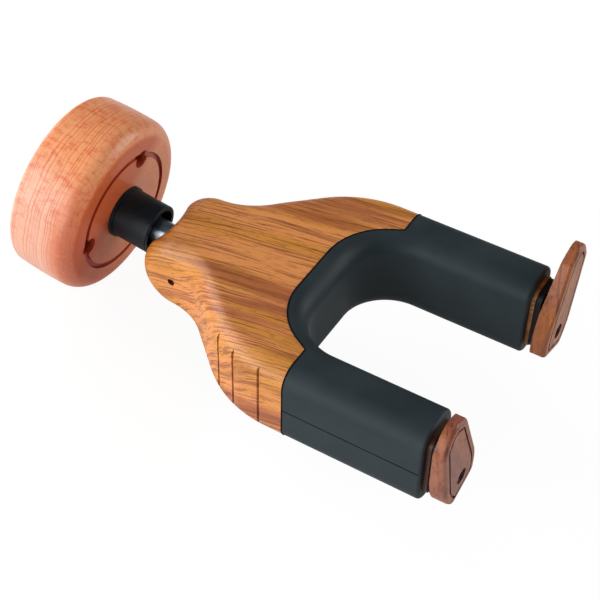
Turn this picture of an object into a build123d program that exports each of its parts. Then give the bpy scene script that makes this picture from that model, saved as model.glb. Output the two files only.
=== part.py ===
from build123d import *
from math import asin, cos, hypot, radians, sin, sqrt, tan
import os

# Wall hanger for guitars, with a self-closing cradle. A round wooden puck screws to the wall.
# A steel spindle stands out of it and carries a wooden wishbone, which swivels on the spindle
# and drops a few degrees on a cross pin under the weight of an instrument. As it drops, two
# rods inside its arms turn a wooden gate across the end of each arm.
#
# Millimetres. The wall is the plane Y = 0, the hanger stands out of it along -Y, +Z is up,
# and the origin is the centre of the puck's back face.

# Fits and clearances, each on the radius or on one side
running = 0.05
push = 0.02
gap = 0.3

# How far a cutting shape reaches past what it cuts, and a trimming shape past the whole
past = 1.0
beyond = 5.0

# Wall puck
puck_d = 68.0
puck_t = 26.0
puck_crown = 0.6
puck_front_r = 6.5
puck_back_r = 2.0
ring_d = 45.2
ring_w = 2.0
ring_depth = 1.0
screw_circle_d = 42.0
screw_count = 3
screw_first_angle = 64.5
screw_shank_d = 4.2
screw_head_d = 7.0
screw_head_depth = 9.0

# Spindle with its nut, washer and collar
spindle_d = 9.0
thread_d = 8.0
flange_d = 13.5
flange_t = 2.0
nut_across = 13.0
nut_t = 6.5
nut_cover = 1.5
thread_proud = 0.8
washer_d = 17.0
washer_t = 1.6
socket_clear = 2.0
collar_d = 18.6
collar_len = 15.4
collar_lip_d = 19.8
collar_lip_t = 1.3
collar_wall = 1.6
collar_mouth = 4.0
collar_edge_r = 0.4

# Pivot and swivel
pivot_out = 59.0
rest_tilt = 7.7
drop = 7.0
pin_d = 4.0
pin_chamfer = 0.3
journal_d = 6.0
journal_tip = 1.0
thrust_d = 9.6
thrust_t = 0.8
clip_d = 10.4
clip_t = 0.8
clip_groove = 0.5
clip_mouth = 3.5
clevis_r = 11.2
clevis_flat = 10.0
clevis_half_h = 8.0
clevis_half_w = 8.5
clevis_wall = 4.4
cheek_t = 2.9
bridge_start = 4.0
bridge_t = 4.5

# Actuator, the forked plate that turns the cranks
lever_reach = 46.75
plate_t = 3.0
plate_stem = 5.2
plate_web = 24.0
plate_arm_w = 5.5
fork_t = 2.5
fork_prong = 2.0
fork_tip = 0.3
fork_root_gap = 0.2
fork_low = 1.4
fork_block = 5.0
plate_back_gap = 0.4
plate_screw_d = 2.5
plate_screw_head_d = 4.5
plate_screw_head_t = 1.6
plate_screw_slot_w = 0.7
plate_screw_slot_deep = 0.6
plate_screw_len = 6.0
plate_screw_v = 2.6
plate_screw_u = 7.4

# Wishbone
half_h = 15.9
end_r = 14.5
slope_end = 22.0
neck_half = 18.0
saddle_r = 45.0
saddle_deep = 1.5
saddle_half_h = 13.0
waist_start = -0.8
waist_r = 24.0
flank_angle = 43.0
shoulder_r = 41.0
arm_centre = 37.6
arm_w = 19.8
edge_r = 6.8
core_end = 114.9
crotch = 54.3
crotch_r = 17.0
notch_at = (35.0, 43.0, 54.0)
notch_depth = 0.9
notch_run = 8.0
notch_face = 0.9
notch_groove = 0.9
notch_groove_w = 0.6

# Rubber sleeve
sleeve_t = 3.0
sleeve_line = 63.2
sleeve_short = 1.3
sleeve_end_r = 1.2
parting_w = 0.5
parting_deep = 0.35
band_w = 8.0
band_flat = 10.0
band_r = 24.0
band_turn = 61.0
seam_gap = 0.2

# Hollow of the wishbone and its cover
hollow_clear = 1.2
spring_bore_d = 9.6
spring_bore_top = 11.0
mouth_half = 5.5
mouth_play = 0.6
knockout_d = 2.8
blind_wall = 2.6
pin_recess = 0.8
cover_plane = 12.6
cover_start = 4.0
cover_lap = 1.6
cover_to_band = 1.9
cover_rim = 10.0
cover_screw_d = 2.9
cover_screw_head_d = 5.4
cover_screw_head_t = 1.8
cover_screw_web = 1.2
cover_screw_cross = 3.2
cover_screw_cross_w = 0.6
cover_screw_cross_deep = 0.8
cover_screw_len = 12.0
cover_screw_apart = 32.0
cover_screw_in = 3.9
cover_screw_back = 7.0

# Spring between the plate and the wishbone
spring_u = 17.2
spring_d = 6.4
spring_wire = 0.9
spring_turns = 6

# Rods, bushes and cranks in the arms
rod_in = 0.6
rod_d = 6.0
rod_bore_d = 7.0
bush_d = 8.4
front_bush_len = 10.0
rear_bush_len = 8.0
gate_swing = 105.0
crank_pin_d = 2.5
crank_plate_t = 2.5
crank_hub_len = 3.6
crank_hub_d = 9.0
crank_rim = 0.9
crank_play = 1.0
crank_pin_proud = 0.8
slot_clear = 0.45
pocket_play = 0.5
roll_pin_d = 1.6

# Gates
gate_t = 5.7
gate_tip_t = 3.7
gate_taper_at = 8.6
gate_lean = 18.0
gate_root = 8.6
gate_root_half = 7.4
gate_half = 10.4
gate_half_at = -0.4
gate_tip_half = 7.6
gate_tip_drop = 5.0
gate_tip_flat = 2.6
gate_corner_r = 3.0
gate_bulge_r = 18.0
gate_tip_r = 5.0
gate_front_r = 1.3
gate_centre_gap = 3.5
groove_in = 2.5
groove_w = 0.8
groove_depth = 0.5
gate_socket = 2.0
gate_screw_d = 3.0
gate_screw_head_d = 5.4
gate_screw_head_t = 2.0
gate_screw_web = 1.2
gate_screw_len = 9.0
tap_runout = 1.0
hex_key = 2.5
hex_key_deep = 1.3
rod_flat = 0.8
gate_washer_rim = 0.4
gate_washer_t = 2.0

# Worked out from the sizes above
tilt = radians(rest_tilt)
crank_r = lever_reach * (sin(tilt) - sin(tilt - radians(drop))) / (2 * sin(radians(gate_swing / 2)))
rod_w = -lever_reach * (sin(tilt) + sin(tilt - radians(drop))) / 2 - fork_low * cos(tilt)
rod_v = arm_centre - rod_in
arm_outer = arm_centre + arm_w / 2
arm_inner = arm_centre - arm_w / 2
cover_front = crotch - band_w - cover_to_band
hollow_half = clevis_half_w + gap
hollow_r = clevis_r + gap
hollow_roof = clevis_r * sin(asin(clevis_half_h / clevis_r) + tilt) + gap
slot_half = crank_pin_d / 2 + slot_clear
fork_half = slot_half + fork_prong
fork_start = lever_reach - fork_t / 2
fork_end = lever_reach + fork_t / 2
crank_start = fork_end + crank_play
crank_end = crank_start + crank_plate_t + crank_hub_len
pocket_start = fork_start - pocket_play - crank_pin_proud
pocket_end = crank_end + pocket_play
pocket_r = crank_r + crank_pin_d / 2 + crank_rim + pocket_play
pin_sweep_r = crank_r + crank_pin_d / 2 + pocket_play
gate_back = core_end + gate_washer_t + gap
gate_reach = rod_v - gate_centre_gap
spring_z = plate_t / 2
spring_roof = (spring_bore_top + spring_u * sin(tilt)) / cos(tilt) - spring_d / 2 * tan(tilt)
spring_top = spring_roof - push
spring_bore_u = spring_u * cos(tilt) + (spring_z + spring_top) / 2 * sin(tilt)
parts = {}


def bar(d, start, end, x=0.0, z=0.0):
    """Round bar along -Y, from one distance out to another."""
    return Pos(x, -(start + end) / 2, z) * Rot(90, 0, 0) * Cylinder(d / 2, end - start)


def tube(d, bore, start, end, x=0.0, z=0.0):
    """Round tube along -Y."""
    return bar(d, start, end, x, z) - bar(bore, start - past, end + past, x, z)


def cross_bar(d, left, right, y=0.0, z=0.0):
    """Round bar along X."""
    return Pos((left + right) / 2, y, z) * Rot(0, 90, 0) * Cylinder(d / 2, right - left)


def post(d, low, high, x, y):
    """Round bar along Z."""
    return Pos(x, y, (low + high) / 2) * Cylinder(d / 2, high - low)


def block(x0, x1, start, end, z0, z1):
    """Box from one distance out to another."""
    return Pos((x0 + x1) / 2, -(start + end) / 2, (z0 + z1) / 2) * Box(x1 - x0, end - start, z1 - z0)


def plan(points):
    """Face in the XY plane through points given as (sideways, outwards)."""
    corners = [(v, -u) for v, u in points]
    return make_face(Polyline(*corners, close=True))


def both_sides(points):
    """Closes a right-hand outline, which starts and ends on the centre line, with its mirror image."""
    return points + [(-v, u) for v, u in reversed(points) if v > 0]


def slab(face, low, high):
    """Prism of a plan face between two heights."""
    return Pos(0, 0, low) * extrude(face, high - low, dir=(0, 0, 1))


def at_pivot(shape):
    """Places a piece, made level about the cross pin's axis, in the hanger."""
    return Pos(0, -pivot_out, 0) * shape


def raised(shape):
    """Places a piece of the wishbone, made about the cross pin's axis, at its raised rest."""
    return Pos(0, -pivot_out, 0) * Rot(-rest_tilt, 0, 0) * shape


# ---------------------------------------------------------------- wall puck
def make_puck():
    radius = puck_d / 2
    side = ThreePointArc(
        (radius - puck_crown, 0), (radius, -puck_t / 2), (radius - puck_crown, -puck_t)
    )
    rest = Polyline((radius - puck_crown, -puck_t), (0, -puck_t), (0, 0), (radius - puck_crown, 0))
    body = revolve(make_face(side + rest), Axis.Y, 360)
    rims = body.edges().filter_by(GeomType.CIRCLE).sort_by(Axis.Y)
    body = fillet(rims[0], puck_front_r)
    rims = body.edges().filter_by(GeomType.CIRCLE).sort_by(Axis.Y)
    body = fillet(rims[-1], puck_back_r)
    body -= tube(ring_d + ring_w, ring_d - ring_w, puck_t - ring_depth, puck_t + past)
    body -= bar(thread_d + 2 * push, -past, puck_t + past)
    body -= bar(washer_d + 2 * socket_clear, -past, nut_cover + nut_t + washer_t)
    for number in range(screw_count):
        angle = radians(screw_first_angle + number * 360 / screw_count)
        x = screw_circle_d / 2 * cos(angle)
        z = screw_circle_d / 2 * sin(angle)
        body -= bar(screw_shank_d, -past, puck_t + past, x, z)
        body -= bar(screw_head_d, puck_t - screw_head_depth, puck_t + past, x, z)
    return body


def make_nut():
    start = nut_cover
    face = Plane((0, -start, 0), x_dir=(1, 0, 0), z_dir=(0, -1, 0)) * RegularPolygon(
        nut_across / 2, 6, major_radius=False
    )
    return extrude(face, nut_t) - bar(thread_d + 2 * push, start - past, start + nut_t + past)


parts["wall_puck"] = make_puck()
parts["spindle_nut"] = make_nut()
parts["spindle_washer"] = tube(
    washer_d, thread_d + 2 * push, nut_cover + nut_t, nut_cover + nut_t + washer_t
)


# ---------------------------------------------------------------- spindle and collar
shoulder_out = pivot_out - clevis_flat - thrust_t
inner_thrust = pivot_out - clevis_flat + clevis_wall
clip_start = inner_thrust + thrust_t + running
journal_end = pivot_out - pin_d / 2 - journal_tip
clip_groove_d = journal_d - 2 * clip_groove


def make_spindle():
    body = bar(thread_d, nut_cover - thread_proud, puck_t)
    body += bar(flange_d, puck_t, puck_t + flange_t)
    body += bar(spindle_d, puck_t, shoulder_out)
    body += bar(journal_d, shoulder_out - past, journal_end)
    return body - tube(journal_d + 2 * past, clip_groove_d, clip_start, clip_start + clip_t + running)


def make_collar():
    end = puck_t + collar_len
    body = bar(collar_d, puck_t, end) + bar(collar_lip_d, puck_t, puck_t + collar_lip_t)
    body -= bar(collar_d - 2 * collar_wall, end - collar_mouth, end + past)
    body -= bar(spindle_d + 2 * running, puck_t - past, end + past)
    body -= bar(flange_d + 2 * running, puck_t - past, puck_t + flange_t + running)
    rim = body.edges().filter_by(GeomType.CIRCLE).group_by(Axis.Y)[0].sort_by(SortBy.RADIUS)[-1]
    return fillet(rim, collar_edge_r)


def make_clip():
    ring = tube(clip_d, clip_groove_d + 2 * push, clip_start, clip_start + clip_t)
    half = clip_mouth / 2
    return ring - block(-half, half, clip_start - past, clip_start + clip_t + past, -clip_d, 0)


parts["spindle"] = make_spindle()
parts["collar"] = make_collar()
parts["thrust_washers"] = Compound(
    [
        tube(thrust_d, journal_d + 2 * running, shoulder_out, shoulder_out + thrust_t),
        tube(thrust_d, journal_d + 2 * running, inner_thrust, inner_thrust + thrust_t),
    ]
)
parts["retaining_clip"] = make_clip()


# ---------------------------------------------------------------- clevis and actuator, level about the pin
cheek_in = clevis_half_w - cheek_t
bridge_top = -plate_t / 2
plate_arm_start = clevis_r - gap
prong_end = rod_v + crank_r + fork_tip
fork_root = rod_v + crank_r * cos(radians(gate_swing / 2)) - slot_half - fork_root_gap


def make_clevis():
    body = cross_bar(2 * clevis_r, -clevis_half_w, clevis_half_w)
    body &= block(
        -clevis_half_w, clevis_half_w, -clevis_flat, clevis_r, -clevis_half_h, clevis_half_h
    )
    tall = clevis_half_h + past
    body -= block(-cheek_in, cheek_in, clevis_wall - clevis_flat, bridge_start, -tall, tall)
    body -= block(-cheek_in, cheek_in, bridge_start - past, clevis_r + past, bridge_top, tall)
    body -= block(-cheek_in, cheek_in, bridge_start - past, clevis_r + past, -tall, bridge_top - bridge_t)
    body -= cross_bar(pin_d + 2 * running, -clevis_half_w - past, clevis_half_w + past)
    body -= bar(journal_d + 2 * running, -clevis_flat - past, clevis_wall - clevis_flat + past)
    for side in (-1, 1):
        hole_d = plate_screw_d + 2 * push
        body -= post(hole_d, -tall, tall, side * plate_screw_v, -plate_screw_u)
    return body


def plate_outline(clear=0.0):
    """Right-hand outline of the plate: a stem that splits into two straight arms, grown by a clearance."""
    slope = (fork_start - plate_arm_start) / (fork_root - plate_stem)
    shift = clear * hypot(1, slope)
    arm_u = plate_arm_w * hypot(1, slope)
    inner_foot = (plate_web - arm_u - plate_arm_start) / slope + plate_stem
    inner_head = fork_root - (arm_u - fork_t) / slope
    back = bridge_start - plate_back_gap - clear
    return [
        (0, back),
        (plate_stem + clear, back),
        (plate_stem + clear, plate_arm_start + slope * clear - shift),
        (fork_root + (shift - clear) / slope, fork_start - clear),
        (fork_root + (shift - clear) / slope, fork_end + clear),
        (inner_head - (shift - clear) / slope, fork_end + clear),
        (inner_foot - (shift - clear) / slope, plate_web + clear),
        (0, plate_web + clear),
    ]


def make_actuator():
    body = slab(plan(both_sides(plate_outline())), -plate_t / 2, plate_t / 2)
    for side in (-1, 1):
        near, far = sorted((side * (fork_root - fork_block), side * prong_end))
        body += Pos(0, 0, -fork_low) * block(near, far, fork_start, fork_end, -fork_half, fork_half)
        near, far = sorted((side * fork_root, side * (prong_end + past)))
        slot = block(near, far, fork_start - past, fork_end + past, -slot_half, slot_half)
        body -= Pos(0, 0, -fork_low) * slot
        body -= post(plate_screw_d + 2 * push, -plate_t, plate_t, side * plate_screw_v, -plate_screw_u)
    return body


def make_plate_screw(v):
    top = plate_t / 2
    head = post(plate_screw_head_d, top, top + plate_screw_head_t, v, -plate_screw_u)
    slot = Pos(v, -plate_screw_u, top + plate_screw_head_t) * Box(
        plate_screw_head_d + past, plate_screw_slot_w, 2 * plate_screw_slot_deep
    )
    shank = post(plate_screw_d, top - plate_screw_len, top + plate_screw_head_t / 2, v, -plate_screw_u)
    return head - slot + shank


parts["pivot_clevis"] = at_pivot(make_clevis())
parts["actuator_plate"] = at_pivot(make_actuator())
parts["actuator_screws"] = at_pivot(
    Compound([make_plate_screw(-plate_screw_v), make_plate_screw(plate_screw_v)])
)


# ---------------------------------------------------------------- outer form of the wishbone
def flank_corners(inset):
    """Ends of the straight flank between the hollow waist and the round shoulder."""
    turn = radians(flank_angle)
    low_r = waist_r + inset
    high_r = shoulder_r - inset
    low = (neck_half - inset + low_r * (1 - cos(turn)), waist_start + low_r * sin(turn))
    high_v = arm_outer - inset - high_r * (1 - cos(turn))
    high = (high_v, low[1] + (high_v - low[0]) / tan(turn))
    return low, high, low_r, high_r


def outer_edge(inset, far):
    """Right-hand outline from behind the neck to past the arm's end, as tangent lines and arcs."""
    low, high, low_r, high_r = flank_corners(inset)
    half = neck_half - inset
    neck = Line((half, end_r + beyond), (half, -waist_start))
    waist = JernArc(neck @ 1, neck % 1, low_r, flank_angle)
    flank = Line(waist @ 1, (high[0], -high[1]))
    shoulder = JernArc(flank @ 1, flank % 1, high_r, -flank_angle)
    side = Line(shoulder @ 1, (arm_outer - inset, -far))
    return neck, waist, flank, shoulder, side


def crotch_face(inset, far):
    """Space between the arms, with its two round corners."""
    half = arm_inner + inset
    bottom = crotch - inset
    radius = crotch_r + inset
    face = make_face(Polyline((-half, -bottom), (half, -bottom), (half, -far), (-half, -far), close=True))
    corners = face.vertices().group_by(Axis.Y)[-1]
    return fillet(corners, radius)


def wishbone_form(inset=0.0):
    """Whole outer form, or the same form shrunk by an inset all round, cut at the arms' end."""
    far = core_end + 4 * beyond
    wide = arm_outer + past
    tall = half_h + past
    right = outer_edge(inset, far)
    left = [line.mirror(Plane.YZ) for line in right]
    back = Line(right[0] @ 0, left[0] @ 0)
    front = Line(right[-1] @ 1, left[-1] @ 1)
    body = slab(make_face(Curve() + [*right, *left, back, front]), -half_h, half_h)
    body &= side_profile(inset, far)
    body -= slab(crotch_face(inset, far + past), -tall, tall)
    body = fillet(rounded_edges(body, far), edge_r - inset)
    return body - block(-wide, wide, core_end, far + past, -tall, tall)


def side_profile(inset, far):
    """Side view: a round end about the pin, sloping out to the full height."""
    radius = end_r - inset
    height = half_h - inset
    reach = hypot(slope_end, height)
    lean = asin(radius / reach) + asin(slope_end / reach)
    touch = (radius * cos(lean), radius * sin(lean))
    slope = (-slope_end, height)
    under_touch = (touch[0], -touch[1])
    under_slope = (-slope_end, -height)
    with BuildSketch(Plane.YZ) as profile:
        with BuildLine():
            Polyline(touch, slope, (-far, height), (-far, -height), under_slope, under_touch)
            ThreePointArc(under_touch, (radius, 0), touch)
        make_face()
    return extrude(profile.sketch, arm_outer + beyond, both=True)


def rounded_edges(body, far):
    """Edges between the flat faces and the walls, all but those at the arms' far ends."""
    chosen = []
    for edge in body.edges():
        middle = edge.position_at(0.5)
        level = abs(edge.tangent_at(0.5).Z)
        if middle.Y > -far + past and not is_upright(edge) and not is_across_end(edge, level):
            chosen.append(edge)
    return chosen


def is_upright(edge):
    ends = (edge.position_at(0), edge.position_at(1))
    return abs(ends[0].X - ends[1].X) < 0.01 and abs(ends[0].Y - ends[1].Y) < 0.01 and abs(
        edge.tangent_at(0.5).Z
    ) > 0.99


def is_across_end(edge, level):
    """Lines across the neck, where the round end meets the slopes and the slopes meet the flats."""
    ends = (edge.position_at(0), edge.position_at(1))
    straight = edge.geom_type == GeomType.LINE
    crosses = abs(ends[0].X + ends[1].X) < 0.01 and abs(ends[0].Y - ends[1].Y) < 0.01
    return straight and crosses and edge.position_at(0.5).Y > -crotch + past and level < 0.01


def half_width(u):
    """Half the width of the outer form at a distance out from the pin."""
    low, high, _, high_r = flank_corners(0.0)
    if u < high[1]:
        return low[0] + (u - low[1]) * tan(radians(flank_angle))
    to_side = high[1] + high_r * sin(radians(flank_angle)) - u
    return arm_outer - high_r + sqrt(high_r**2 - max(to_side, 0.0) ** 2)


def notch_tool(u, side):
    """One shallow step down the shoulder: a long slope in, a narrow groove, then a steep face out."""
    run_in = half_width(u) - notch_depth
    points = [
        (half_width(u - notch_run) + push, u - notch_run),
        (run_in, u - notch_groove_w),
        (run_in - notch_groove, u),
        (half_width(u + notch_face) + push, u + notch_face),
        (half_width(u) + notch_run, u - notch_run),
    ]
    return slab(plan([(side * v, out) for v, out in points]), -half_h - past, half_h + past)


def saddle_tool():
    """Spool behind the neck, which hollows the neck's round end between its two corners."""
    axis_y = end_r + saddle_r - saddle_deep
    rim_y = sqrt(end_r**2 - saddle_half_h**2) - saddle_deep
    low, high = (0, rim_y, -saddle_half_h), (0, rim_y, saddle_half_h)
    arc = ThreePointArc(low, (0, end_r - saddle_deep, 0), high)
    rest = Polyline(high, (0, axis_y, saddle_half_h), (0, axis_y, -saddle_half_h), low)
    return revolve(make_face(Curve() + [arc, rest]), Axis((0, axis_y, 0), (0, 0, 1)), 360)


def sleeve_region(shift=0.0):
    """Everything in front of the line where wood gives way to rubber, seen in plan."""
    far = core_end + beyond
    wide = arm_outer + beyond
    flat = Line((0, band_w - crotch - shift), (band_flat, band_w - crotch - shift))
    curve = JernArc(flat @ 1, flat % 1, band_r - shift, -band_turn)
    edge_u = sleeve_line + shift
    run = (edge_u + (curve @ 1).Y) / tan(radians(band_turn))
    rest = Polyline(curve @ 1, ((curve @ 1).X + run, -edge_u), (wide, -edge_u), (wide, -far), (0, -far))
    right = [flat, curve, rest]
    left = [line.mirror(Plane.YZ) for line in right]
    return slab(make_face(Curve() + [*right, *left]), -half_h - past, half_h + past)


# ---------------------------------------------------------------- wishbone, with its hollow
fork_roof = fork_half + gap
pocket_in = rod_v - crank_hub_d / 2 - pocket_play
pocket_out = prong_end + pocket_play
below = -half_h - past
cover_seat = -cover_plane - cover_screw_web


def neck_hollow():
    """Round chamber for the clevis, open below for putting it in."""
    body = cross_bar(2 * hollow_r, -hollow_half, hollow_half)
    body += block(-hollow_half, hollow_half, 0, hollow_r, -hollow_r, hollow_roof)
    body &= block(-hollow_half, hollow_half, -hollow_r, hollow_r, -hollow_roof, hollow_roof)
    body += block(-hollow_half, hollow_half, cover_lap - cover_start, hollow_r, below, 0)
    return body


def fork_hollow():
    body = slab(plan(both_sides(plate_outline(hollow_clear))), below, fork_roof)
    for side in (-1, 1):
        near, far = sorted((side * pocket_in, side * pocket_out))
        body += block(near, far, pocket_start, fork_end + gap, below, fork_roof)
        body += block(near, far, pocket_start, pocket_end, below, rod_w)
        body += bar(2 * pin_sweep_r, pocket_start, pocket_end, side * rod_v, rod_w)
        body += bar(2 * pocket_r, crank_start - pocket_play, pocket_end, side * rod_v, rod_w)
    return body


def rod_bores():
    body = Part()
    for side in (-1, 1):
        x = side * rod_v
        body += bar(rod_bore_d, pocket_end - past, core_end + past, x, rod_w)
        body += bar(bush_d, pocket_end - past, pocket_end + rear_bush_len, x, rod_w)
        body += bar(bush_d, core_end - front_bush_len, core_end + past, x, rod_w)
    return body


def mouth_slot():
    """Slot in the neck's end that the spindle stands in, open below."""
    top = end_r * tan(tilt) + spindle_d / 2 / cos(tilt) + mouth_play
    body = block(-mouth_half, mouth_half, -end_r - past, -cover_start, below, top - mouth_half)
    return body + bar(2 * mouth_half, -end_r - past, -cover_start, 0, top - mouth_half)


def cover_face():
    """Plan outline of the cover: the hollow's own outline with a lap all round."""
    neck_v = hollow_half + cover_lap
    face = plan([(-neck_v, -cover_start), (neck_v, -cover_start), (neck_v, hollow_r), (-neck_v, hollow_r)])
    face += plan(both_sides(plate_outline(hollow_clear + cover_lap)))
    front = pocket_end + cover_lap
    back = pocket_start - cover_lap
    for side in (-1, 1):
        out_v = side * (pocket_out + cover_lap)
        in_v = side * (pocket_in - cover_lap)
        face += plan([(out_v, back), (out_v, front), (in_v, front), (in_v, back)])
    web_v = half_width(plate_web) - cover_rim
    side_v = pocket_in - cover_lap
    edge = [(neck_v, hollow_r), (side_v, back), (side_v, fork_end), (web_v, cover_front)]
    face += plan(both_sides([(0, hollow_r), *edge, (0, cover_front)]))
    return face


def cover_screw_places():
    """One screw behind the plate's web and two beside the crotch, as (sideways, outwards)."""
    side = cover_screw_apart / 2
    front = cover_front - cover_screw_in
    return [(0, plate_web + cover_screw_back), (-side, front), (side, front)]


def cover_holes(d, low, high):
    holes = Part()
    for v, u in cover_screw_places():
        holes += post(d, low, high, v, -u)
    return holes


outer = wishbone_form()
core = wishbone_form(sleeve_t)


def make_wishbone():
    body = outer - (sleeve_region() - core)
    for side in (-1, 1):
        for u in notch_at:
            body -= notch_tool(u, side)
    body -= saddle_tool()
    body -= neck_hollow()
    body -= fork_hollow()
    body -= rod_bores()
    body -= mouth_slot()
    body -= slab(cover_face(), below, -cover_plane)
    body -= cross_bar(pin_d + 2 * push, blind_wall - neck_half, neck_half + past)
    body -= cross_bar(knockout_d, -neck_half - past, 0)
    body -= post(spring_bore_d, 0, spring_bore_top, 0, -spring_bore_u)
    body -= cover_holes(cover_screw_d, -half_h, cover_screw_len - half_h)
    return body


def make_sleeve():
    """One moulding over both arms and round the crotch, with its ends just short of the wood."""
    body = outer & sleeve_region(seam_gap)
    body -= wishbone_form(sleeve_t - push)
    end = core_end - sleeve_short
    body -= block(-arm_outer - past, arm_outer + past, end, core_end + past, below, half_h + past)
    rims = [face.outer_wire().edges() for face in body.faces().filter_by(Plane.XZ).group_by(Axis.Y)[0]]
    body = fillet([edge for rim in rims for edge in rim], sleeve_end_r)
    for side in (-1, 1):
        near, far = sorted((side * (arm_outer - parting_deep), side * (arm_outer + past)))
        body -= block(near, far, sleeve_line, core_end, -parting_w / 2, parting_w / 2)
    return body


def make_cover():
    face = offset(cover_face(), -seam_gap, kind=Kind.INTERSECTION)
    body = outer & slab(face, below, -cover_plane)
    body -= cover_holes(cover_screw_d + 2 * seam_gap, below, 0)
    body -= cover_holes(cover_screw_head_d + 2 * seam_gap, below, cover_seat)
    return body


def make_cover_screw(v, u):
    head = post(cover_screw_head_d, cover_seat - cover_screw_head_t, cover_seat, v, -u)
    low = cover_seat - cover_screw_head_t
    for turn in (0, 90):
        slot = Box(cover_screw_cross, cover_screw_cross_w, 2 * cover_screw_cross_deep)
        head -= Pos(v, -u, low) * Rot(0, 0, turn) * slot
    return head + post(cover_screw_d - 2 * push, cover_seat, cover_screw_len - half_h, v, -u)


def make_pivot_pin():
    pin = cross_bar(pin_d, blind_wall - neck_half + push, neck_half - pin_recess)
    ends = pin.edges().filter_by(GeomType.CIRCLE)
    return chamfer(ends, pin_chamfer)


def make_spring():
    """Round-wire spring, standing on the plate and pressing up on the roof of its bore."""
    radius = (spring_d - spring_wire) / 2
    height = spring_top - spring_z - spring_wire
    path = Helix(height / spring_turns, height, radius)
    wire = Plane(path @ 0, z_dir=path % 0) * Circle(spring_wire / 2)
    coil = sweep(wire, path)
    return Pos(0, -spring_u, spring_z + spring_wire / 2) * coil


parts["wishbone_body"] = raised(make_wishbone())
parts["rubber_sleeve"] = raised(make_sleeve())
parts["bottom_cover"] = raised(make_cover())
parts["cover_screws"] = raised(Compound([make_cover_screw(v, u) for v, u in cover_screw_places()]))
parts["pivot_pin"] = raised(make_pivot_pin())
parts["return_spring"] = at_pivot(make_spring())


# ---------------------------------------------------------------- rods, bushes, cranks and gates
rod_start = crank_start + crank_plate_t
socket_end = gate_back + gate_socket
screw_seat = socket_end + gate_screw_web
screw_tip = screw_seat - gate_screw_len


def make_bush(x, start, length):
    return tube(bush_d - 2 * push, rod_d + 2 * running, start, start + length, x, rod_w)


def flat_tool(x, start, end, clear=0.0):
    """What the flat on a rod's front end takes away."""
    low = rod_w + rod_d / 2 - rod_flat + clear
    return block(x - rod_d, x + rod_d, start, end, low, rod_w + rod_d)


def roll_pin_hole(x, clear):
    middle = -(rod_start + crank_hub_len / 2)
    reach = crank_hub_d / 2
    return post(roll_pin_d + 2 * clear, rod_w - reach, rod_w + reach, x, middle)


def make_rod(x):
    body = bar(rod_d, rod_start, socket_end, x, rod_w)
    body -= flat_tool(x, gate_back, socket_end + past)
    body -= bar(gate_screw_d + 2 * push, screw_tip - tap_runout, socket_end + past, x, rod_w)
    return body - roll_pin_hole(x, push)


def make_crank(side):
    """Crank at its rest, with its pin low and outward of the rod."""
    x = side * rod_v
    start_angle = radians(gate_swing / 2)
    pin_x = x + side * crank_r * cos(start_angle)
    pin_z = rod_w - crank_r * sin(start_angle)
    cheek_d = crank_pin_d + 2 * crank_rim
    body = bar(crank_hub_d, crank_start, crank_end, x, rod_w)
    body += bar(cheek_d, crank_start, rod_start, pin_x, pin_z)
    web = Box(crank_r, crank_plate_t, cheek_d)
    middle = ((x + pin_x) / 2, -(crank_start + rod_start) / 2, (rod_w + pin_z) / 2)
    body += Pos(*middle) * Rot(0, side * gate_swing / 2, 0) * web
    body -= bar(rod_d + 2 * push, rod_start, crank_end + past, x, rod_w)
    body += bar(crank_pin_d, fork_start - crank_pin_proud, crank_start, pin_x, pin_z)
    return body - roll_pin_hole(x, push)


def gate_outline():
    """Right-hand gate seen from the front, upright about its rod: wide root, narrower rounded tip."""
    right = [
        (gate_root_half, -gate_root),
        (gate_half, gate_half_at),
        (gate_tip_half, gate_reach - gate_tip_drop),
        (gate_tip_flat, gate_reach),
    ]
    whole = right + [(-across, along) for across, along in reversed(right)]
    face = make_face(Polyline(*whole, close=True))
    radii = (gate_corner_r, gate_bulge_r, gate_tip_r, gate_tip_r)
    for (_, along), radius in zip(right, radii):
        corners = face.vertices().filter_by_position(Axis.Y, along - push, along + push)
        face = fillet(corners, radius)
    return face


def gate_body():
    """Gate on the XY plane, back down, thinner towards its tip."""
    face = gate_outline()
    body = extrude(face, gate_t, dir=(0, 0, 1))
    body = fillet(body.faces().sort_by(Axis.Z)[-1].edges(), gate_front_r)
    thinned = gate_t - gate_tip_t
    run = gate_reach - gate_taper_at
    wedge = Plane.YZ * make_face(
        Polyline(
            (gate_taper_at, 0),
            (gate_reach + run, 2 * thinned),
            (gate_reach + run, -past),
            (gate_taper_at, -past),
            close=True,
        )
    )
    body -= extrude(wedge, gate_half + past, both=True)
    line = offset(face, -groove_in) - offset(face, -groove_in - groove_w)
    return body - Pos(0, 0, gate_t - groove_depth) * extrude(line, groove_depth + past, dir=(0, 0, 1))


def make_gate():
    """Right-hand gate at its rest, leaning outwards, with its socket and screw hole."""
    front = Plane((rod_v, -gate_back, rod_w), x_dir=(1, 0, 0), z_dir=(0, -1, 0))
    body = front * Rot(0, 0, -gate_lean) * gate_body()
    socket = bar(rod_d + 2 * push, gate_back - past, socket_end, rod_v, rod_w)
    body -= socket - flat_tool(rod_v, gate_back - 2 * past, socket_end + past, push)
    body -= bar(gate_screw_d + 2 * push, gate_back, screw_seat + past, rod_v, rod_w)
    return body - bar(gate_screw_head_d + gap, screw_seat, gate_back + gate_t + past, rod_v, rod_w)


def make_gate_screw(x):
    head_end = screw_seat + gate_screw_head_t
    top = Plane((x, -head_end, rod_w), x_dir=(1, 0, 0), z_dir=(0, 1, 0))
    key = extrude(top * RegularPolygon(hex_key / 2, 6, major_radius=False), hex_key_deep)
    head = bar(gate_screw_head_d, screw_seat, head_end, x, rod_w) - key
    return head + bar(gate_screw_d, screw_tip, screw_seat, x, rod_w)


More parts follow.
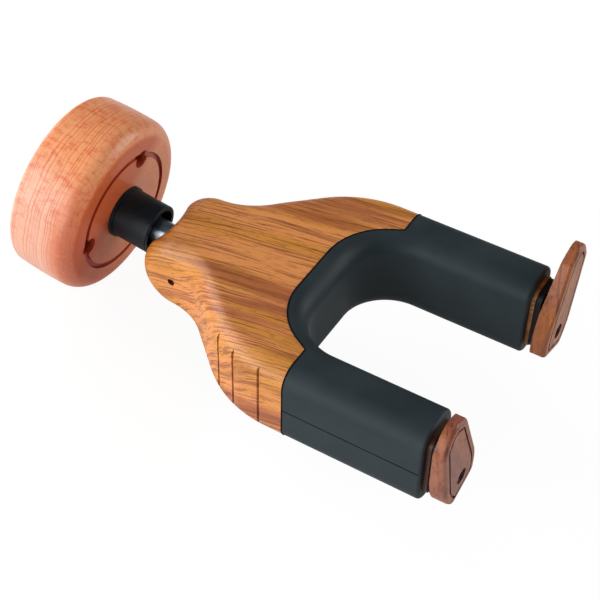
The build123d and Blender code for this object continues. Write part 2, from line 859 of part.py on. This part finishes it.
def make_gate_washer(side):
    """Flat plate over the whole end of an arm, which the gate turns against."""
    end = Plane((side * arm_centre, -core_end, 0), x_dir=(1, 0, 0), z_dir=(0, -1, 0))
    inset = sleeve_t + gate_washer_rim
    face = RectangleRounded(arm_w - 2 * inset, 2 * (half_h - inset), edge_r - inset)
    front = core_end + gate_washer_t
    return extrude(end * face, gate_washer_t) - bar(
        rod_d + 2 * running, core_end - past, front + past, side * rod_v, rod_w
    )


right_gate = make_gate()
for name, side in (("left", -1), ("right", 1)):
    x = side * rod_v
    front_start = core_end - front_bush_len
    parts[f"{name}_rear_bush"] = raised(make_bush(x, pocket_end, rear_bush_len))
    parts[f"{name}_front_bush"] = raised(make_bush(x, front_start, front_bush_len))
    parts[f"{name}_rod"] = raised(make_rod(x))
    parts[f"{name}_crank"] = raised(make_crank(side))
    parts[f"{name}_roll_pin"] = raised(roll_pin_hole(x, 0.0))
    parts[f"{name}_gate_washer"] = raised(make_gate_washer(side))
    parts[f"{name}_gate"] = raised(right_gate if side > 0 else right_gate.mirror(Plane.YZ))
    parts[f"{name}_gate_screw"] = raised(make_gate_screw(x))


os.makedirs("parts", exist_ok=True)
for name, shape in parts.items():
    export_step(shape, f"parts/{name}.step")
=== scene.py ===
import bmesh
import bpy
import math
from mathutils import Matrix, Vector, geometry
from mathutils.bvhtree import BVHTree


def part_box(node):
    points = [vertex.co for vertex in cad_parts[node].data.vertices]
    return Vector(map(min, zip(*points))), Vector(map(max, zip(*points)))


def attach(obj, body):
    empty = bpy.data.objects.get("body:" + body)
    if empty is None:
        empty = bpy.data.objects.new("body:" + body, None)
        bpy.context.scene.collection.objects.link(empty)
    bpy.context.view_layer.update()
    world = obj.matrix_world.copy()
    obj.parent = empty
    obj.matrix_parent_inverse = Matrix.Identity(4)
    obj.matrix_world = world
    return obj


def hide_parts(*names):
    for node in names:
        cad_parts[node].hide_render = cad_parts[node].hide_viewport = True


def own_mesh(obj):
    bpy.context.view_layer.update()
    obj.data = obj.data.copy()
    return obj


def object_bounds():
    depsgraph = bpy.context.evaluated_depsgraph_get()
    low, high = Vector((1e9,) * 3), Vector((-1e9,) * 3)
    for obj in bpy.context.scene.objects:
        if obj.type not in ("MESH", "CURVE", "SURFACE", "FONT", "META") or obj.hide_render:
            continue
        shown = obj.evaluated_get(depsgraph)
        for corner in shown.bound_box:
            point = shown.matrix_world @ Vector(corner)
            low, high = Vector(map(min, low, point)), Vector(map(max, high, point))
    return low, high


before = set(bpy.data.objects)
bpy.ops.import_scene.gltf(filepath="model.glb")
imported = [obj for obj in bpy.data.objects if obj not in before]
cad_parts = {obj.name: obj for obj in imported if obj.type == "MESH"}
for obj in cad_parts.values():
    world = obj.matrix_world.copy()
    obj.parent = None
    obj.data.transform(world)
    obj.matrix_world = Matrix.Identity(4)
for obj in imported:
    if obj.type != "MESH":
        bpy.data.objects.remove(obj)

# The wall guitar hanger, dressed round its CAD model. Metres throughout. The wall is the plane y = 0,
# the hanger stands out of it along -y, and +z is up.
cad_low, cad_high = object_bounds()


# ---------------------------------------------------------------- camera
# A long lens looks down on the hanger from its left and front, rolled so that the hanger lies across
# the frame from the upper left to the lower right.
camera_at = (-0.3032, -0.22805, 0.37386)
camera_turns = (41.06, -7.629, -58.519)

camera_data = bpy.data.cameras.new("camera")
camera_data.sensor_width = 36
camera_data.lens = 85.8
camera = bpy.data.objects.new("camera", camera_data)
camera.location = camera_at
camera.rotation_euler = [math.radians(turn) for turn in camera_turns]
bpy.context.scene.collection.objects.link(camera)
bpy.context.scene.camera = camera


# ---------------------------------------------------------------- table, surroundings and lamps
# A table of white card under the hanger, in a dim room. Four soft boxes stand round it: one low at its
# left, one behind that, one behind the wall end and one at the right. The card keeps a faint shadow.
class Tone:
    """A socket of the material being made. Sums and products of tones add Math nodes."""

    def __init__(self, tree, socket=None):
        self.tree = tree
        self.socket = socket

    def node(self, kind, settings=None, sockets=None, out=0):
        """Adds any node: first its settings, then the values or tones of its sockets."""
        made = self.tree.nodes.new(kind)
        for name, value in (settings or {}).items():
            if name == "stops":
                ramp = made.color_ramp.elements
                while len(ramp) < len(value):
                    ramp.new(1.0)
                for stop, (place, colour) in zip(ramp, value):
                    stop.position = place
                    stop.color = (*colour, 1.0)
            else:
                setattr(made, name, value)
        for name, value in (sockets or {}).items():
            if isinstance(value, Tone):
                self.tree.links.new(value.socket, made.inputs[name])
            else:
                made.inputs[name].default_value = value
        return Tone(self.tree, made.outputs[out] if made.outputs else None)

    def output(self, name):
        """Another output of this tone's node."""
        return Tone(self.tree, self.socket.node.outputs[name])

    def maths(self, operation, *values):
        return self.node("ShaderNodeMath", {"operation": operation}, dict(enumerate(values)))

    def __add__(self, other):
        return self.maths("ADD", self, other)

    def __sub__(self, other):
        return self.maths("SUBTRACT", self, other)

    def __rsub__(self, other):
        return self.maths("SUBTRACT", other, self)

    def __mul__(self, other):
        return self.maths("MULTIPLY", self, other)

    __radd__ = __add__
    __rmul__ = __mul__

    def between(self, low, high, first=0.0, last=1.0):
        """This tone, eased from the range low..high to first..last."""
        return self.node(
            "ShaderNodeMapRange",
            {"interpolation_type": "SMOOTHSTEP"},
            {"Value": self, "From Min": low, "From Max": high, "To Min": first, "To Max": last},
        )

    def towards(self, colour, share, blend="MIX"):
        """This colour, mixed with another by a share."""
        other = colour if isinstance(colour, Tone) else (*colour, 1.0)
        settings = {"data_type": "RGBA", "blend_type": blend}
        return self.node("ShaderNodeMix", settings, {0: share, 6: self, 7: other}, out=2)

    def along(self, x, y, z):
        """How far these coordinates lie along a direction."""
        sockets = {0: self, 1: (x, y, z)}
        return self.node("ShaderNodeVectorMath", {"operation": "DOT_PRODUCT"}, sockets, out=1)

    def stretched(self, x, y, z):
        """These coordinates times a scale on each axis."""
        return self.node("ShaderNodeVectorMath", {"operation": "MULTIPLY"}, {0: self, 1: (x, y, z)})

    def noise(self, scale=1.0, detail=2.0, roughness=0.5):
        """Soft noise over these coordinates, about 0.5, with about scale waves to a unit."""
        sockets = {"Vector": self, "Scale": scale, "Detail": detail, "Roughness": roughness}
        return self.node("ShaderNodeTexNoise", sockets=sockets)

    def streaks(self, detail=2.0, roughness=0.5):
        """Soft noise along this tone alone, about 0.5, with about a wave to a unit."""
        sockets = {"W": self, "Scale": 1.0, "Detail": detail, "Roughness": roughness}
        return self.node("ShaderNodeTexNoise", {"noise_dimensions": "1D"}, sockets)

    def ramp(self, *stops):
        """The colours that this tone runs through. Each stop is a place and a colour."""
        return self.node("ShaderNodeValToRGB", {"stops": stops}, {"Fac": self})

    def bumped(self, distance, strength):
        """A normal with this tone as its height."""
        sockets = {"Height": self, "Distance": distance, "Strength": strength}
        return self.node("ShaderNodeBump", sockets=sockets)

    def mark(self, name):
        """A number that the faces of the piece carry."""
        return self.node("ShaderNodeAttribute", {"attribute_name": name}, out="Fac")

    def ground(self, colour):
        """A plain colour, for others to be mixed into."""
        made = self.node("ShaderNodeRGB")
        made.socket.default_value = (*colour, 1.0)
        return made


def paint(red, green, blue):
    """A colour given as on a paint chart, 0 to 255, as Blender mixes it."""
    return tuple(((part / 255 + 0.055) / 1.055) ** 2.4 for part in (red, green, blue))


def new_material(name):
    """An empty material, and the tone of its object coordinates."""
    material = bpy.data.materials.new(name)
    material.use_nodes = True
    material.node_tree.nodes.clear()
    return material, Tone(material.node_tree).node("ShaderNodeTexCoord", out="Object")


def finish_material(here, sockets):
    """Ends a material in a Principled shader with these sockets."""
    shader = here.node("ShaderNodeBsdfPrincipled", sockets=sockets)
    here.node("ShaderNodeOutputMaterial", sockets={"Surface": shader})


def soft_box(name, at, towards, side, watts):
    """A square lamp that faces a point."""
    data = bpy.data.lights.new(name, "AREA")
    data.shape = "SQUARE"
    data.size, data.energy = side, watts
    lamp = bpy.data.objects.new(name, data)
    lamp.location = at
    lamp.rotation_euler = (towards - at).to_track_quat("-Z", "Y").to_euler()
    bpy.context.scene.collection.objects.link(lamp)


# To the camera alone, the card glows white. Near the hanger a share of its own shading shows as well,
# and fades out from table_near to table_far.
table_half = 3.0
table_white = (0.93, 0.93, 0.93)
table_glow = 1.06
glow_share = 0.86
table_near, table_far = 0.35, 0.8
room_light = 0.096
room_white = (1.0, 1.0, 1.0)
box_side = 0.6

card, here = new_material("table_card")
shown = here.node("ShaderNodeLightPath").output("Is Camera Ray")
matt = here.node("ShaderNodeBsdfDiffuse", sockets={"Color": (*table_white, 1.0)})
glow = here.node("ShaderNodeEmission", sockets={"Strength": table_glow})
away = here.node("ShaderNodeVectorMath", {"operation": "LENGTH"}, {0: here}, out=1)
glowing = away.between(table_near, table_far, glow_share, 1.0)
surface = here.node("ShaderNodeMixShader", sockets={0: shown * glowing, 1: matt, 2: glow})
here.node("ShaderNodeOutputMaterial", sockets={"Surface": surface})

table_mesh = bpy.data.meshes.new("table")
corners = [(table_half * x, table_half * y, cad_low.z) for x, y in ((-1, -1), (1, -1), (1, 1), (-1, 1))]
table_mesh.from_pydata(corners, [], [(0, 1, 2, 3)])
table_mesh.materials.append(card)
table = bpy.data.objects.new("table", table_mesh)
bpy.context.scene.collection.objects.link(table)

room = bpy.data.worlds.new("room")
room.use_nodes = True
room.node_tree.nodes.clear()
bpy.context.scene.world = room
inside = Tone(room.node_tree)
shown = inside.node("ShaderNodeLightPath").output("Is Camera Ray")
light = inside.node("ShaderNodeBackground", sockets={
    "Color": (*room_white, 1.0),
    "Strength": shown * (1.0 - room_light) + room_light,
})
inside.node("ShaderNodeOutputWorld", sockets={"Surface": light})

middle = (cad_low + cad_high) / 2
for name, offset, watts in (
    ("left_box", (-0.893, 0.0, 0.107), 3.9),
    ("back_left_box", (-0.605, 0.605, 0.277), 5.2),
    ("back_box", (0.0, 0.805, 0.402), 4.2),
    ("right_box", (0.569, -0.569, 0.406), 4.8),
):
    soft_box(name, middle + Vector(offset), middle, box_side, watts)

bpy.context.scene.view_settings.view_transform = "Standard"


# ---------------------------------------------------------------- wall puck
# A disc of pale pinkish hardwood, turned on a lathe with a large round front edge, and lacquered. A
# ring groove and three screw recesses are cut in its face; painted shade makes them deep red inside. The
# lower left is painted paler, as painted light and highlight, and its round edge there darker, as painted
# shade. The colour is warmer to the top, and the face carries a painted reflection, redder at the upper
# left.
def dress(material, *nodes):
    """Puts a material on CAD nodes."""
    for name in nodes:
        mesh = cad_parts[name].data
        mesh.materials.clear()
        mesh.materials.append(material)


def mark_recesses(node, darkness):
    """Marks how much painted shade the faces of a CAD node take in its grooves and holes, from 0 to 1."""
    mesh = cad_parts[node].data
    marks = mesh.attributes.new("recess", "FLOAT", "FACE")
    marks.data.foreach_set("value", [float(darkness(face.center, face.normal)) for face in mesh.polygons])


# The ring groove and the recesses lie within ring_reach of the puck's axis, from sunk_least to
# sunk_most below its face.
puck_thick = -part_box("wall_puck")[0].y
ring_reach = 0.0247
sunk_least, sunk_most = 0.0001, 0.012


def in_puck_recess(at, normal):
    """A test for the faces that lie below the puck's own face, in its ring groove or a screw recess."""
    return math.hypot(at.x, at.z) < ring_reach and sunk_least < at.y + puck_thick < sunk_most


mark_recesses("wall_puck", in_puck_recess)

puck_pale = paint(230, 176, 152)
puck_orange = paint(252, 170, 116)
puck_salmon = paint(218, 136, 94)
reflection_red = paint(196, 84, 36)
puck_dark = paint(170, 44, 12)
puck_tint = paint(236, 176, 150)

# The face, the round edge and the back have shades of their own. Each starts and is full this far
# behind the face, or, for the back, this far off the wall.
face_edge, face_full = 0.0008, 0.0001
round_edge, round_full = 0.012, 0.003
back_edge, back_full = 0.0020, 0.0002

puck_wood, here = new_material("lacquered_puck_wood")
# The growth layers lie parallel to the wall, counted in millimetres, and bend with a slow sway and a
# quick shiver.
sway = here.stretched(24, 40, 24).noise(detail=2.0)
shiver = here.stretched(260, 100, 260).noise(detail=2.0)
rings = here.along(0, -1000, 0) + sway * 7.0 + shiver * 0.9
lines = (rings * 1.3).streaks(detail=3.0, roughness=0.6).between(0.50, 0.60)
worn = here.stretched(45, 90, 45).noise(detail=2.0).between(0.36, 0.60)
figure = here.stretched(560, 260, 560).noise(detail=3.0, roughness=0.7).between(0.44, 0.68)
flecks = here.stretched(900, 260, 900).noise(detail=2.0).between(0.54, 0.68)
off_wall = here.along(0, -1, 0)
face = off_wall.between(puck_thick - face_edge, puck_thick - face_full)
rounded = off_wall.between(puck_thick - round_edge, puck_thick - round_full)
back = here.along(0, 1, 0).between(-back_edge, -back_full)
uneven = (here.noise(scale=40) - 0.5) * 0.02
# Painted light and highlight: the lower left side is painted pale.
painted_light_side = (here.along(-0.92, 0.12, -0.37) + uneven).between(-0.002, 0.024)
warm_side = (here.along(-0.30, 0.25, 0.92) + uneven).between(-0.004, 0.030)
# A painted reflection: the face is painted redder toward the upper left.
painted_reflection = here.along(-0.62, 0, 0.78).between(0.000, 0.009)
ringed = lines * (worn * 0.40 + 0.60) * (1.0 - (rounded + back) * 0.85)
colour = here.ground(puck_salmon).towards(puck_orange, warm_side)
# On the round edge the painted light is weaker, and painted shade darkens it.
colour = colour.towards(puck_pale, painted_light_side * (1.0 - rounded * 0.6))
colour = colour.towards(puck_tint, painted_light_side * rounded * 0.8, "MULTIPLY")
colour = colour.towards(puck_tint, ringed, "MULTIPLY")
colour = colour.towards(puck_tint, figure * (warm_side * 0.65 + 0.10), "MULTIPLY")
colour = colour.towards(puck_pale, flecks * 0.18).towards(reflection_red, face * painted_reflection * 0.8)
# Painted shade, in a deep red, in the groove and the screw recesses.
colour = colour.towards(puck_dark, here.mark("recess") * 0.8)
finish_material(here, {
    "Base Color": colour,
    "Roughness": 0.45,
    "Specular IOR Level": 0.3,
    "Coat Weight": 0.3,
    "Coat Roughness": 0.12,
})
dress(puck_wood, "wall_puck")


# ---------------------------------------------------------------- wishbone
# One piece of golden brown hardwood with dark red streaks, shaped by hand and router, and oiled to a
# satin shine. The growth layers stand steeply in it, a little askew to the arms.

# The arms rise by this lean as they reach out from the wall. Out and up are their own directions.
lean = math.radians(7.7)
out, up = Vector((0, -math.cos(lean), math.sin(lean))), Vector((0, math.sin(lean), math.cos(lean)))

# Their bare ends, in front of the sleeve, are painted darker, as painted shade of the gap before the gates,
# and the left one most. The shades of the left and the right meet within between_arms of the middle.
sleeve_front = max(vertex.co.dot(out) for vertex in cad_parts["rubber_sleeve"].data.vertices)
core_edge = 0.0002
between_arms = 0.001

# The knock-out hole is round the cross pin and is painted dark, as painted shade. The notches are at these
# distances from it along the arms, and their sides take painted shade.
pin_low, pin_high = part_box("pivot_pin")
pin_at = (pin_low + pin_high) / 2
knockout_reach = 0.0016
notches_at = (0.035, 0.043, 0.054)
notch_behind, notch_ahead = 0.0008, 0.0012
notch_facing = 0.5
notch_shade = 0.42


def painted_wood_shade(at, normal):
    """How dark a face of the wishbone is painted, as painted shade: wholly in the knock-out hole, and
    partly on a notch's sides.
    """
    if math.hypot(at.y - pin_at.y, at.z - pin_at.z) < knockout_reach:
        return 1.0
    arm = (at - pin_at).dot(out)
    notched = any(-notch_behind < arm - notch < notch_ahead for notch in notches_at)
    return notch_shade if notched and abs(normal.dot(out)) > notch_facing else 0.0


mark_recesses("wishbone_body", painted_wood_shade)

wood_gold = paint(214, 140, 54)
wood_orange = paint(228, 147, 80)
wood_plum = paint(160, 80, 46)
wood_brown = paint(128, 62, 28)
wood_dark = paint(66, 28, 12)

# The grain's own axes: across its layers, along its fibres, and along the layers across the fibres.
across, fore, through = (-0.834, -0.215, -0.508), (0.22, -0.96, 0.04), (0.50, 0.08, -0.86)

wishbone_wood, here = new_material("oiled_wood")
wander = here.stretched(16, 8, 22).noise(detail=2.0)
ripple = here.stretched(150, 50, 150).noise(detail=1.0)
layers = here.along(*across) + (wander - 0.5) * 0.010 + (ripple - 0.5) * 0.0007
grain = here.node("ShaderNodeCombineXYZ", sockets={
    "X": layers * 1000,
    "Y": here.along(*fore) * 1000,
    "Z": here.along(*through) * 1000,
})
broad = grain.stretched(0.085, 0.006, 0.02).noise(detail=2.0).between(0.54, 0.66)
golden = grain.stretched(0.13, 0.012, 0.05).noise(detail=2.0).between(0.42, 0.60)
bands = grain.stretched(0.50, 0.016, 0.05).noise(detail=2.0).between(0.50, 0.64)
fine = grain.stretched(1.7, 0.035, 0.10).noise(detail=2.0, roughness=0.6).between(0.52, 0.62)
vessels = grain.stretched(3.2, 0.20, 1.8).noise(detail=1.0).between(0.60, 0.70)
shaded_core_end = here.along(*out).between(sleeve_front - core_edge, sleeve_front)
left_arm = here.along(-1, 0, 0).between(-between_arms, between_arms)
colour = here.ground(wood_orange).towards(wood_gold, golden)
colour = colour.towards(wood_plum, broad * 0.70).towards(wood_brown, bands * 0.42)
colour = colour.towards(wood_brown, fine * 0.66).towards(wood_dark, vessels * 0.42)
# Painted shade in the knock-out hole and on the notches' sides.
colour = colour.towards(wood_dark, here.mark("recess") * 0.85)
# Painted shade on the arms' bare ends.
colour = colour.towards(wood_dark, shaded_core_end * (left_arm * 0.6 + 0.35))
finish_material(here, {
    "Base Color": colour,
    "Roughness": 0.50,
    "Coat Weight": 0.24,
    "Coat Roughness": 0.27,
    "Normal": (1.0 - vessels * 0.7 - fine * 0.3).bumped(0.00005, 0.5),
})
dress(wishbone_wood, "wishbone_body")


# ---------------------------------------------------------------- rubber sleeve
# One black rubber moulding, stretched over both arms and round the bottom of the gap. Its surface is
# satin from the mould, whose halves leave a parting line along the arms' outer sides.
rubber_dark, rubber_light = paint(36, 47, 51), paint(44, 55, 59)

rubber, here = new_material("black_rubber")
grain = here.noise(scale=2600, detail=2.0)
blotch = here.noise(scale=60, detail=3.0)
finish_material(here, {
    "Base Color": blotch.ramp((0.35, rubber_dark), (0.7, rubber_light)),
    "Roughness": blotch.between(0.3, 0.7, 0.52, 0.60),
    "Specular IOR Level": 0.26,
    "Normal": grain.bumped(0.00004, 0.4),
})
dress(rubber, "rubber_sleeve")


# ---------------------------------------------------------------- seam shadow bead
# A thin black bead in the seam between the rubber's back edge and the wood, standing in as a painted
# shadow of the rubber's raised edge. It follows the sharp edges of the rubber that stand just off the wood.
doubled = 1e-6


def merged(node):
    """A CAD node's mesh, its doubled vertices merged."""
    mesh = bmesh.new()
    mesh.from_mesh(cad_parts[node].data)
    bmesh.ops.remove_doubles(mesh, verts=mesh.verts, dist=doubled)
    mesh.normal_update()
    return mesh


# An edge of the seam turns by more than sharp, and stands from seam_least to seam_most off the wood.
bead_radius, bead_sides = 0.00025, 8
sharp = math.radians(40)
seam_least, seam_most = 0.0001, 0.0004
sleeve, wood = merged("rubber_sleeve"), merged("wishbone_body")
wood_tree = BVHTree.FromBMesh(wood)
off_wood = {vertex: wood_tree.find_nearest(vertex.co)[3] for vertex in sleeve.verts}
seam = [
    edge for edge in sleeve.edges
    if edge.calc_face_angle(0) > sharp and all(seam_least < off_wood[end] < seam_most for end in edge.verts)
]
stations = list({end: None for edge in seam for end in edge.verts})
station_of = {end: index for index, end in enumerate(stations)}
runs = [[station_of[end] for end in edge.verts] for edge in seam]
seam_mesh = bpy.data.meshes.new("seam_shadow_path")
seam_mesh.from_pydata([end.co for end in stations], runs, [])
sleeve.free()
wood.free()

# The bead is near black, as a painted shadow line.
seam_shadow_colour = paint(4, 4, 4)

seam_shadow_black, here = new_material("seam_shadow_black")
finish_material(here, {
    "Base Color": here.noise(scale=900).towards(seam_shadow_colour, 0.99),
    "Roughness": 0.7,
    "Specular IOR Level": 0.05,
})

tree = bpy.data.node_groups.new("bead_on_path", "GeometryNodeTree")
for name, kind in (("Path", "Geometry"), ("Bead radius", "Float"), ("Bead sides", "Int"),
                   ("Bead material", "Material")):
    tree.interface.new_socket(name, in_out="INPUT", socket_type="NodeSocket" + kind)
tree.interface.new_socket("Bead", in_out="OUTPUT", socket_type="NodeSocketGeometry")
given, taken = tree.nodes.new("NodeGroupInput"), tree.nodes.new("NodeGroupOutput")
path, section, bead, real, coated = [
    tree.nodes.new(kind) for kind in (
        "GeometryNodeMeshToCurve", "GeometryNodeCurvePrimitiveCircle", "GeometryNodeCurveToMesh",
        "GeometryNodeRealizeInstances", "GeometryNodeSetMaterial",
    )
]
for source, target in (
    (given.outputs["Path"], path.inputs["Mesh"]),
    (given.outputs["Bead radius"], section.inputs["Radius"]),
    (given.outputs["Bead sides"], section.inputs["Resolution"]),
    (path.outputs["Curve"], bead.inputs["Curve"]),
    (section.outputs["Curve"], bead.inputs["Profile Curve"]),
    (bead.outputs["Mesh"], real.inputs["Geometry"]),
    (real.outputs["Geometry"], coated.inputs["Geometry"]),
    (given.outputs["Bead material"], coated.inputs["Material"]),
    (coated.outputs["Geometry"], taken.inputs["Bead"]),
):
    tree.links.new(source, target)

seam_object = bpy.data.objects.new("seam_shadow_path", seam_mesh)
bpy.context.scene.collection.objects.link(seam_object)
maker = seam_object.modifiers.new("bead", "NODES")
maker.node_group = tree
inputs = {item.name: item.identifier for item in tree.interface.items_tree if item.in_out == "INPUT"}
maker[inputs["Bead radius"]] = bead_radius
maker[inputs["Bead sides"]] = bead_sides
maker[inputs["Bead material"]] = seam_shadow_black
beaded = seam_object.evaluated_get(bpy.context.evaluated_depsgraph_get())
bead_mesh = bpy.data.meshes.new_from_object(beaded)
bpy.data.objects.remove(seam_object)
seam_shadow_bead = bpy.data.objects.new("seam_shadow_bead", bead_mesh)
bpy.context.scene.collection.objects.link(seam_shadow_bead)
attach(seam_shadow_bead, "cradle")


# ---------------------------------------------------------------- gates
# Small blades of red-brown hardwood, one on the front end of each rod. Each has a line engraved in its
# face and a hole for its screw, and is lacquered. The right blade's wood is the more golden.

# Painted shade darkens the recesses, the engraved line and the screw hole. A recess starts this far
# inside the blade's outline and this far behind its front.
# The blade's back faces the wall more squarely than back_facing.
rim_width = 0.0014
front_skin = 0.0001
back_facing = -0.9


def in_gate_recess(mesh):
    """A test for the faces that lie behind a gate's front, well inside its outline and not on its back."""
    flat = [Vector((vertex.co.x, vertex.co.dot(up))) for vertex in mesh.vertices]
    rim = [flat[index] for index in geometry.convex_hull_2d(flat)]
    sides = [(first, (second - first).normalized()) for first, second in zip(rim, rim[1:] + rim[:1])]
    sides = [(first, along) for first, along in sides if along.length]
    front = max(vertex.co.dot(out) for vertex in mesh.vertices)

    def test(at, normal):
        spot = Vector((at.x, at.dot(up)))
        inside = min(abs((spot - first).cross(along)) for first, along in sides)
        return inside > rim_width and at.dot(out) < front - front_skin and normal.dot(out) > back_facing

    return test


for name in ("left_gate", "right_gate"):
    mark_recesses(name, in_gate_recess(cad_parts[name].data))

gate_brown = paint(154, 88, 66)
gate_gold = paint(186, 112, 46)
gate_plum = paint(112, 48, 34)
gate_shade = paint(92, 40, 34)
gate_vessel = paint(64, 32, 24)
gate_groove = paint(84, 26, 14)

gate_wood, here = new_material("gate_wood")
bend = here.stretched(60, 60, 20).noise(detail=2.0)
layers = here.along(0.35, -0.9, 0.2) * 700 + bend * 7.0
fine = layers.streaks(detail=3.0, roughness=0.6).between(0.45, 0.70)
right_blade = here.along(1, 0, 0).between(-between_arms, between_arms)
flame = here.stretched(110, 110, 60).noise(detail=2.0).between(0.42, 0.66)
patches = here.stretched(300, 300, 170).noise(detail=3.0).between(0.54, 0.66)
vessels = here.stretched(1500, 1500, 150).noise(detail=1.0).between(0.56, 0.70)
gilded = flame * (right_blade * 0.3 + 0.35) + right_blade * 0.35
colour = here.ground(gate_brown).towards(gate_gold, gilded)
colour = colour.towards(gate_plum, fine * 0.6).towards(gate_shade, patches * 0.4)
# Painted shade in the recesses.
colour = colour.towards(gate_vessel, vessels * 0.4).towards(gate_groove, here.mark("recess") * 0.6)
finish_material(here, {
    "Base Color": colour,
    "Roughness": 0.48,
    "Specular IOR Level": 0.3,
    "Coat Weight": 0.2,
    "Coat Roughness": 0.16,
    "Normal": (1.0 - vessels * 0.6).bumped(0.0001, 0.4),
})
dress(gate_wood, "left_gate", "right_gate")


# ---------------------------------------------------------------- collar, washers, cover and bushes
# Black nylon, turned or moulded: the collar round the spindle's root, the plates glued over the arms'
# ends and the cover under the hollow. The plates are near black as a painted shadow of the gap between
# the arms' ends and the gates. The rods' bushes are the same stuff undyed.
def nylon(name, dark, light, roughness, *nodes):
    """Dresses nodes in nylon that is scuffed from one shade to another."""
    material, here = new_material(name)
    scuffs = here.noise(scale=420, detail=4.0, roughness=0.7)
    finish_material(here, {
        "Base Color": scuffs.ramp((0.35, dark), (0.75, light)),
        "Roughness": scuffs.between(0.3, 0.7, roughness, roughness + 0.1),
        "Specular IOR Level": 0.3,
    })
    dress(material, *nodes)


nylon("black_collar", paint(2, 15, 22), paint(14, 31, 40), 0.42, "collar")
# Near black, as a painted shadow in the gap before the gates.
nylon("black_washer", paint(9, 9, 10), paint(15, 15, 16), 0.5, "left_gate_washer", "right_gate_washer")
nylon("cover_plastic", paint(28, 28, 29), paint(38, 38, 39), 0.45, "bottom_cover")
nylon("bush_plastic", paint(196, 192, 180), paint(214, 210, 200), 0.4,
      "left_rear_bush", "right_rear_bush", "left_front_bush", "right_front_bush")


# ---------------------------------------------------------------- metal pieces
# The spindle and rods are polished steel. The clevis, its pin, the nut and the plate's screws are zinc
# plated, and the plate, the cranks and the other screws blackened. The clip, spring and roll pins are
# spring steel, and the thrust washers bronze.
def metal(name, dark, light, roughness, wear, *nodes):
    """Dresses nodes in bare metal that is smeared from one shade to another, in spots of 1 / wear."""
    material, here = new_material(name)
    smear = here.stretched(1.0, 0.25, 1.0).noise(scale=wear, detail=3.0)
    finish_material(here, {
        "Base Color": smear.ramp((0.3, dark), (0.7, light)),
        "Metallic": 1.0,
        "Roughness": smear.between(0.3, 0.7, roughness, roughness + 0.08),
    })
    dress(material, *nodes)


metal("polished_steel", paint(150, 162, 176), paint(172, 184, 196), 0.30, 900,
      "spindle", "left_rod", "right_rod")
metal("zinc_steel", paint(160, 164, 168), paint(190, 193, 196), 0.28, 600,
      "spindle_nut", "spindle_washer", "pivot_clevis", "actuator_screws", "pivot_pin")
metal("plate_steel", paint(70, 72, 76), paint(92, 94, 98), 0.38, 500,
      "actuator_plate", "left_crank", "right_crank")
metal("spring_steel", paint(150, 152, 154), paint(176, 178, 180), 0.25, 800,
      "retaining_clip", "return_spring", "left_roll_pin", "right_roll_pin")
metal("bronze", paint(176, 128, 70), paint(198, 150, 88), 0.3, 700, "thrust_washers")
metal("black_screw", paint(40, 41, 43), paint(60, 61, 63), 0.35, 700,
      "cover_screws", "left_gate_screw", "right_gate_screw")


# ---------------------------------------------------------------- return spring
# A coil of spring steel wire, closed at both ends. It stands on the forked plate. On the real hanger the
# wishbone squeezes it as the cradle drops; here it keeps one length and goes with the swivel.
coil = merged("return_spring")
coil_mesh = bpy.data.meshes.new("coil_spring")
coil.to_mesh(coil_mesh)
coil.free()
coil_mesh.materials.append(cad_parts["return_spring"].data.materials[0])
coil_spring = bpy.data.objects.new("coil_spring", coil_mesh)
bpy.context.scene.collection.objects.link(coil_spring)
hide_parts("return_spring")
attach(coil_spring, "swivel")
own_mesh(coil_spring)
